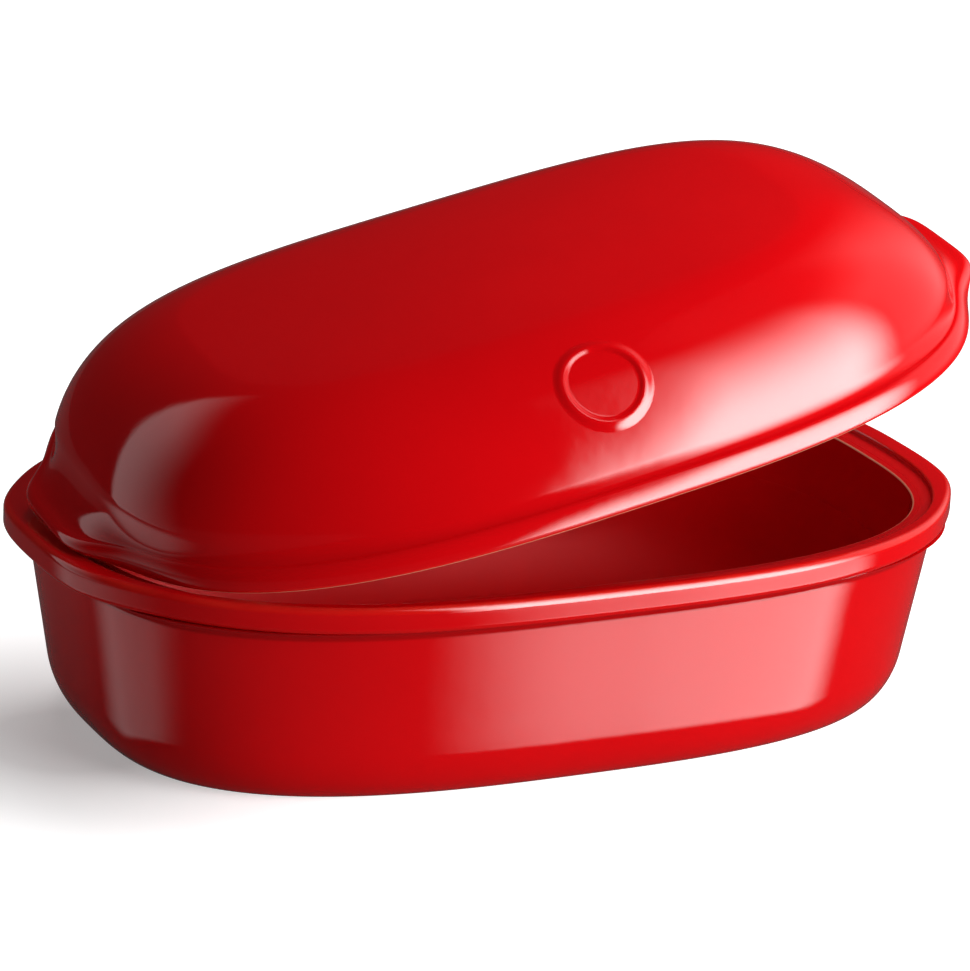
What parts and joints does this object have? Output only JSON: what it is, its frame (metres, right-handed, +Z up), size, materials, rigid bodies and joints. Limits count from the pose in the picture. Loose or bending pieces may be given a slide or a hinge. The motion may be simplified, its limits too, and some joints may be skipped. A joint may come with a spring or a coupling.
{
  "type": "ceramic bread oven",
  "caption": "Oval glazed ceramic baking dish with end handles and a domed lid with end grips, the lid tipped open at one end, for baking bread in an oven.",
  "frame": {"origin": "on the table under the middle of the base, in the plane of its flat foot", "axes": "+Z up, +X along the length towards the end where the lid is lifted, +Y towards the back long side"},
  "size_m": [0.365, 0.245, 0.2021],
  "materials": {
    "base_glaze": "glossy red glaze",
    "lid_glaze": "glossy red glaze"
  },
  "bodies": {
    "base": {"baking_base": "base_glaze"},
    "lid": {"domed_lid": "lid_glaze"}
  },
  "joints": [
    {"name": "lid_tip", "type": "hinge", "parent": "base", "child": "lid", "pos_m": [-0.15847, -0.04845, 0.1113], "axis": [0.2875, -0.9403, -0.1822], "range_deg": [-14, 26]}
  ]
}
